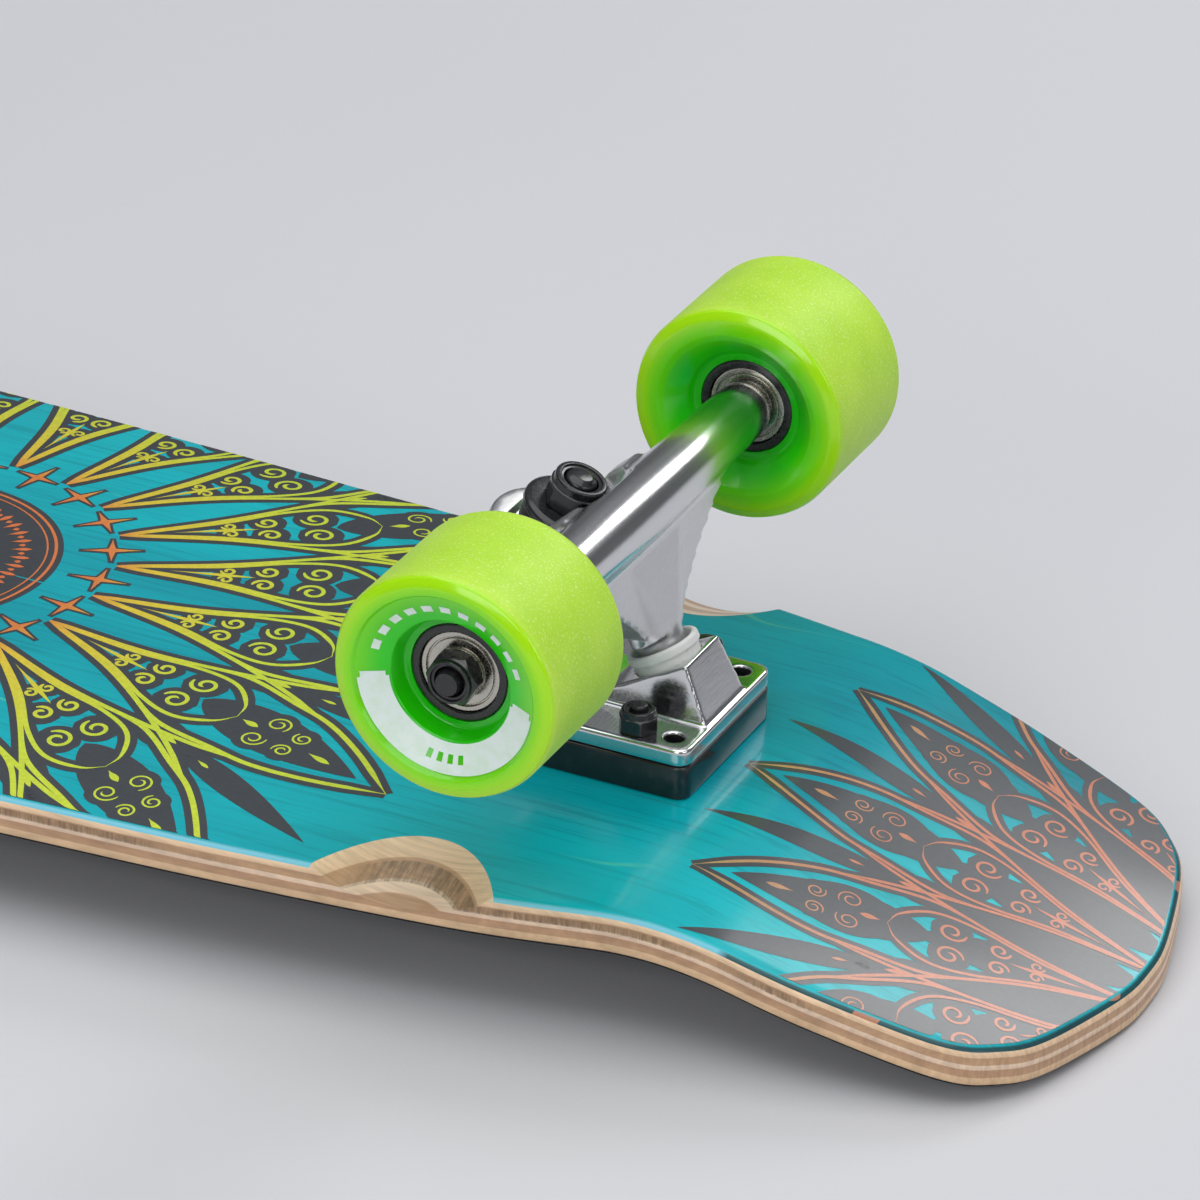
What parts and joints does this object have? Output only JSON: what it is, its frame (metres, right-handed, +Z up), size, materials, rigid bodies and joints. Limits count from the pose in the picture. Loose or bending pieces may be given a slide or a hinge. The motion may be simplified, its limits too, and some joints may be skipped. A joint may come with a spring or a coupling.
{
  "type": "skateboard",
  "caption": "Short cruiser skateboard with kicked nose and tail, wheel wells, sprung steering trucks and free-rolling soft wheels.",
  "frame": {"origin": "on the floor under the middle of the board, which lies upside down on its tips", "axes": "+X along the board to the tail, +Y across the board, +Z up, away from the floor"},
  "size_m": [0.743, 0.2192, 0.1369],
  "materials": {
    "deck_wood": "stained and lacquered maple plies, printed",
    "grip": "gritty",
    "riser": "gloss",
    "cast_metal": "polished casting",
    "white_plastic": "moulded",
    "black_steel": "black oxide",
    "bushing": "satin",
    "steel": "bright",
    "urethane": "translucent cast urethane",
    "core_plastic": "moulded"
  },
  "bodies": {
    "board": {"deck": "deck_wood", "grip_tape": "grip", "riser_tail": "riser", "baseplate_tail": "cast_metal", "pivot_cup_tail": "white_plastic", "kingpin_tail": "black_steel", "kingpin_nut_tail": "black_steel", "washer_road_tail": "black_steel", "washer_board_tail": "black_steel", "bushing_road_tail": "bushing", "bushing_board_tail": "bushing", "bolt_tail_outer_left": "black_steel", "bolt_tail_outer_right": "black_steel", "bolt_tail_inner_left": "black_steel", "bolt_tail_inner_right": "black_steel", "riser_nose": "riser", "baseplate_nose": "cast_metal", "pivot_cup_nose": "white_plastic", "kingpin_nose": "black_steel", "kingpin_nut_nose": "black_steel", "washer_road_nose": "black_steel", "washer_board_nose": "black_steel", "bushing_road_nose": "bushing", "bushing_board_nose": "bushing", "bolt_nose_outer_left": "black_steel", "bolt_nose_outer_right": "black_steel", "bolt_nose_inner_left": "black_steel", "bolt_nose_inner_right": "black_steel"},
    "hanger_tail": {"hanger_tail": "cast_metal", "axle_tail": "steel", "axle_nut_tail_left": "black_steel", "spacer_tail_left": "steel", "axle_nut_tail_right": "black_steel", "spacer_tail_right": "steel"},
    "wheel_tail_left": {"tyre_tail_left": "urethane", "core_tail_left": "core_plastic", "bearing_out_tail_left": "steel", "bearing_in_tail_left": "steel"},
    "wheel_tail_right": {"tyre_tail_right": "urethane", "core_tail_right": "core_plastic", "bearing_out_tail_right": "steel", "bearing_in_tail_right": "steel"},
    "hanger_nose": {"hanger_nose": "cast_metal", "axle_nose": "steel", "axle_nut_nose_left": "black_steel", "spacer_nose_left": "steel", "axle_nut_nose_right": "black_steel", "spacer_nose_right": "steel"},
    "wheel_nose_left": {"tyre_nose_left": "urethane", "core_nose_left": "core_plastic", "bearing_out_nose_left": "steel", "bearing_in_nose_left": "steel"},
    "wheel_nose_right": {"tyre_nose_right": "urethane", "core_nose_right": "core_plastic", "bearing_out_nose_right": "steel", "bearing_in_nose_right": "steel"}
  },
  "joints": [
    {"name": "steer_tail", "type": "hinge", "parent": "board", "child": "hanger_tail", "pos_m": [0.2325, 0, 0.06672], "axis": [-0.8019, 0, 0.5974], "range_deg": [-14, 14], "stiffness_Nm_per_rad": 45, "deforming": ["bushing_road_tail", "bushing_board_tail"]},
    {"name": "roll_tail_left", "type": "hinge", "parent": "hanger_tail", "child": "wheel_tail_left", "pos_m": [0.22, -0.0852, 0.10632], "axis": [0, 1, 0], "continuous": true},
    {"name": "roll_tail_right", "type": "hinge", "parent": "hanger_tail", "child": "wheel_tail_right", "pos_m": [0.22, 0.0852, 0.10632], "axis": [0, 1, 0], "continuous": true},
    {"name": "steer_nose", "type": "hinge", "parent": "board", "child": "hanger_nose", "pos_m": [-0.2325, 0, 0.06672], "axis": [0.8019, 0, 0.5974], "range_deg": [-14, 14], "stiffness_Nm_per_rad": 45, "deforming": ["bushing_road_nose", "bushing_board_nose"]},
    {"name": "roll_nose_left", "type": "hinge", "parent": "hanger_nose", "child": "wheel_nose_left", "pos_m": [-0.22, 0.0852, 0.10632], "axis": [0, 1, 0], "continuous": true},
    {"name": "roll_nose_right", "type": "hinge", "parent": "hanger_nose", "child": "wheel_nose_right", "pos_m": [-0.22, -0.0852, 0.10632], "axis": [0, 1, 0], "continuous": true}
  ]
}
